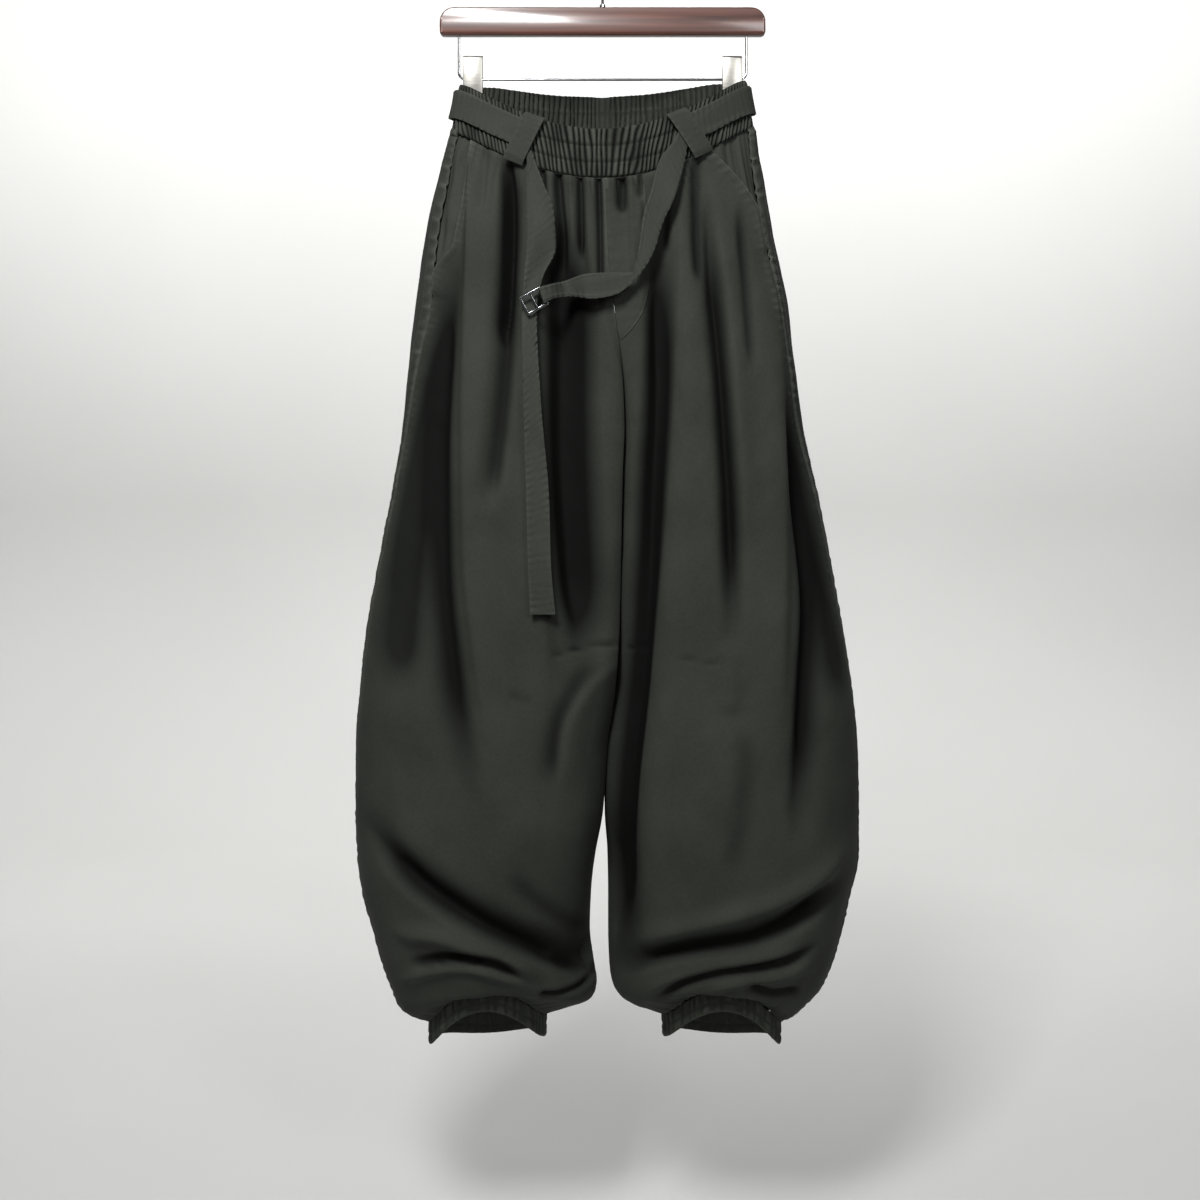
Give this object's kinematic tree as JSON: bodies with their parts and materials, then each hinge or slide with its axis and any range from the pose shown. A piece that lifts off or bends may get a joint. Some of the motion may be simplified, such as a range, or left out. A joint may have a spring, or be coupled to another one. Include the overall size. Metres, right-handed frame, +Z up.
{
  "type": "wide-leg trousers on a clip hanger",
  "caption": "Wide-leg trousers with a gathered waistband, gathered cuffs and a belt with a slider buckle, hung by the waist from a wooden clip hanger.",
  "frame": {"origin": "the inner top of the hook's bend, where the hanger hangs on a rail", "axes": "+X to the wearer's left, -Y the front of the trousers, +Z up along their length"},
  "size_m": [0.5542, 0.2101, 1.2453],
  "materials": {
    "twill": "washed cotton twill, dark charcoal green, matt",
    "belt_twill": "the same twill, folded and edge-stitched",
    "buckle_metal": "polished plated metal",
    "hanger_wood": "mahogany stain under gloss varnish",
    "hook_steel": "black",
    "wire_chrome": "plated wire",
    "clip_metal": "satin nickel plate"
  },
  "bodies": {
    "root": {"front_panel_right": "twill", "front_panel_left": "twill", "back_panel_right": "twill", "back_panel_left": "twill", "pocket_facing_right": "twill", "pocket_facing_left": "twill", "fly": "twill", "waistband": "twill", "cuff_right": "twill", "cuff_left": "twill", "belt": "belt_twill", "belt_loop_front_right": "belt_twill", "belt_loop_front_left": "belt_twill", "belt_loop_back_right": "belt_twill", "belt_loop_back_left": "belt_twill", "buckle": "buckle_metal", "hanger_bar": "hanger_wood", "hanger_hook": "hook_steel", "hanger_wire": "wire_chrome", "clip_right": "clip_metal", "clip_left": "clip_metal"}
  },
  "joints": []
}
